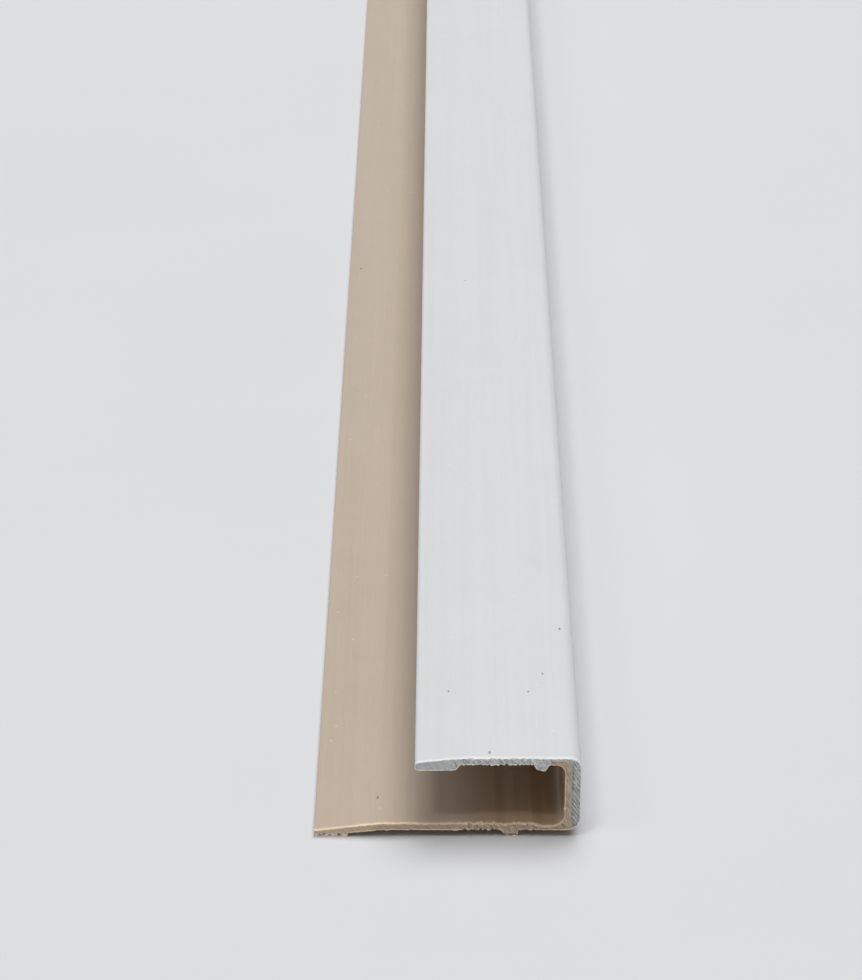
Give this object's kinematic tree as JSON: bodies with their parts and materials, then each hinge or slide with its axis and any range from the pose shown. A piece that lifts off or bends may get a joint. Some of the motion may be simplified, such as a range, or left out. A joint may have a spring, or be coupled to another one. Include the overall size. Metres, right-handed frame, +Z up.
{
  "type": "pvc u-channel",
  "caption": "Unequal-leg plastic channel trim: a tan base leg and a narrower white show leg form a slot that takes the edge of a thin wall panel.",
  "frame": {"origin": "centre of the channel's footprint, on the floor that its pad and foot rib rest on", "axes": "+Y along the length, +X across the section from the long leg's free edge to the web, +Z up from the long leg to the show leg"},
  "size_m": [0.034, 2.44, 0.012],
  "materials": {
    "white_pvc": "satin",
    "tan_pvc": "satin"
  },
  "bodies": {
    "root": {"white_cap": "white_pvc", "tan_base": "tan_pvc"}
  },
  "joints": []
}
